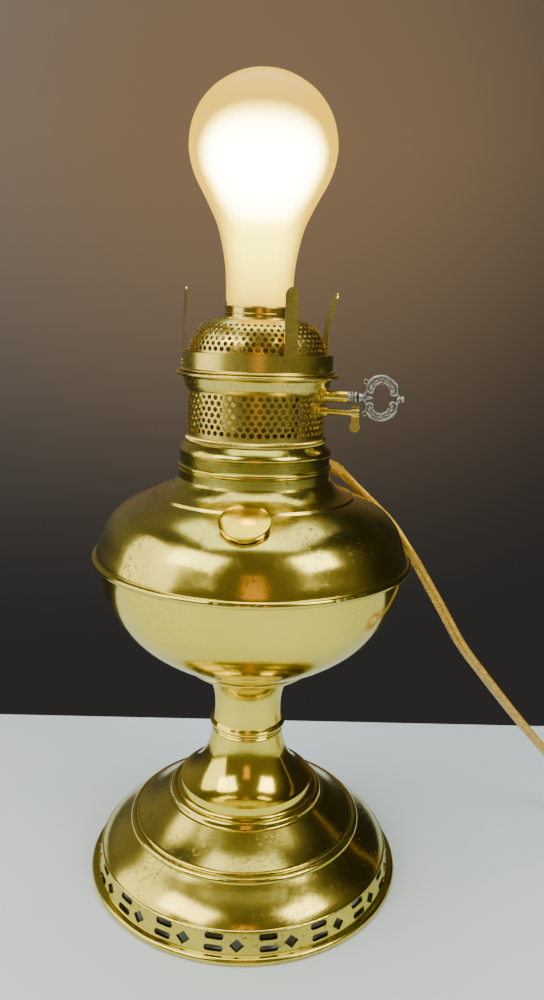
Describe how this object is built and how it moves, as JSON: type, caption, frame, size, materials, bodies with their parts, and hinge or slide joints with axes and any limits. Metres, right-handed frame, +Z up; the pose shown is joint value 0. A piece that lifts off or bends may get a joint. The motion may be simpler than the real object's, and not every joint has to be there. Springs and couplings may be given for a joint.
{
  "type": "electrified oil lamp",
  "caption": "Spun brass centre-draft table lamp on a pierced foot, changed over to a screw bulb, with wick key, gallery lift lever, prongs and cord.",
  "frame": {"origin": "on the table, at the centre of the foot", "axes": "+Z up the lamp's axis; -Y is the front, where the filler cap is; +X toward the wick key"},
  "size_m": [0.3563, 0.2288, 0.3784],
  "materials": {
    "spun_brass": "aged olive-gold lacquered brass, speckled",
    "bright_brass": "brighter polished brass",
    "burner_brass": "dull brown-green brass",
    "spring_brass": "dark spring brass",
    "tube_brass": "plain brass",
    "cap_brass": "polished brass",
    "pewter": "grey white-metal casting, worn",
    "socket_metal": "brass",
    "screw_metal": "plain aluminium",
    "insulator": "black moulded insulator",
    "liner_card": "fibre insulating sleeve",
    "contact_metal": "contact brass",
    "frosted_glass": "frosted glass, lit warm",
    "clear_glass": "clear glass",
    "filament_wire": "glowing tungsten coil",
    "cord_vinyl": "clear amber-gold vinyl",
    "cork": "cork washer"
  },
  "bodies": {
    "lamp": {"foot_shell": "spun_brass", "stem_cone": "bright_brass", "waist_ring": "bright_brass", "stem_cup": "bright_brass", "font_foot_ring": "bright_brass", "font_bowl": "bright_brass", "font_dome": "spun_brass", "burner_collar": "spun_brass", "filler_neck": "tube_brass", "draft_tube": "tube_brass", "outer_wick_tube": "tube_brass", "burner_base_ring": "burner_brass", "burner_basket": "burner_brass", "key_sleeve": "burner_brass", "lever_bush": "burner_brass", "socket_adapter": "socket_metal", "socket_cap": "socket_metal", "socket_body": "insulator", "centre_contact": "contact_metal", "socket_shell": "socket_metal", "socket_liner": "liner_card", "screw_shell": "screw_metal", "cord_bushing": "cord_vinyl", "inner_lead": "cord_vinyl", "cord_lead": "cord_vinyl", "cord_coil": "cord_vinyl", "cord_tail": "cord_vinyl", "plug_body": "cord_vinyl", "plug_blades": "contact_metal"},
    "gallery": {"gallery_band": "burner_brass", "gallery_guide": "burner_brass", "chimney_seat": "burner_brass", "air_dome": "burner_brass", "dome_ring": "burner_brass", "prong_front": "spring_brass", "prong_right": "spring_brass", "prong_rear": "spring_brass", "prong_left": "spring_brass", "prong_rivets": "spring_brass", "lift_rack": "spring_brass"},
    "wick_key": {"key_bow": "pewter", "key_ferrule": "tube_brass", "wick_spindle": "tube_brass", "wick_pinion": "tube_brass"},
    "wick_carrier": {"wick_carrier": "tube_brass", "wick_rack": "tube_brass"},
    "lift_lever": {"lift_rod": "spring_brass", "lift_paddle": "spring_brass", "lift_pinion": "spring_brass"},
    "bulb": {"bulb_glass": "frosted_glass", "bulb_base": "screw_metal", "bulb_insulator": "insulator", "bulb_contact": "contact_metal", "bulb_stem": "clear_glass", "filament": "filament_wire"},
    "filler_seal": {"filler_gasket": "cork"},
    "filler_cap": {"filler_cap": "cap_brass"}
  },
  "joints": [
    {"name": "wick_key_turn", "type": "hinge", "parent": "lamp", "child": "wick_key", "pos_m": [0, 0, 0.2413], "axis": [0.9848, -0.1736, 0], "range_deg": [0, 257.83]},
    {"name": "wick_rise", "type": "slide", "parent": "lamp", "child": "wick_carrier", "axis": [0, 0, 1], "range_m": [0, 0.018]},
    {"name": "gallery_rise", "type": "slide", "parent": "lamp", "child": "gallery", "axis": [0, 0, 1], "range_m": [0, 0.0075]},
    {"name": "lift_lever_turn", "type": "hinge", "parent": "lamp", "child": "lift_lever", "pos_m": [0, 0, 0.2343], "axis": [0.9848, -0.1736, 0], "range_deg": [-120, 0]},
    {"name": "bulb_out", "type": "slide", "parent": "lamp", "child": "bulb", "axis": [0, 0, 1], "range_m": [0, 0.034]},
    {"name": "filler_cap_rise", "type": "slide", "parent": "lamp", "child": "filler_seal", "axis": [-0.0277, -0.4531, 0.891], "range_m": [0, 0.003]},
    {"name": "filler_cap_turn", "type": "hinge", "parent": "filler_seal", "child": "filler_cap", "pos_m": [-0.00334, -0.0546, 0.1906], "axis": [-0.0277, -0.4531, 0.891], "range_deg": [0, 720]}
  ],
  "couplings": [
    {"joint": "wick_key_turn", "follows": "wick_rise", "rad_per_m": 250},
    {"joint": "lift_lever_turn", "follows": "gallery_rise", "rad_per_m": -277.78},
    {"joint": "filler_cap_rise", "follows": "filler_cap_turn", "m_per_rad": 0.000238}
  ]
}
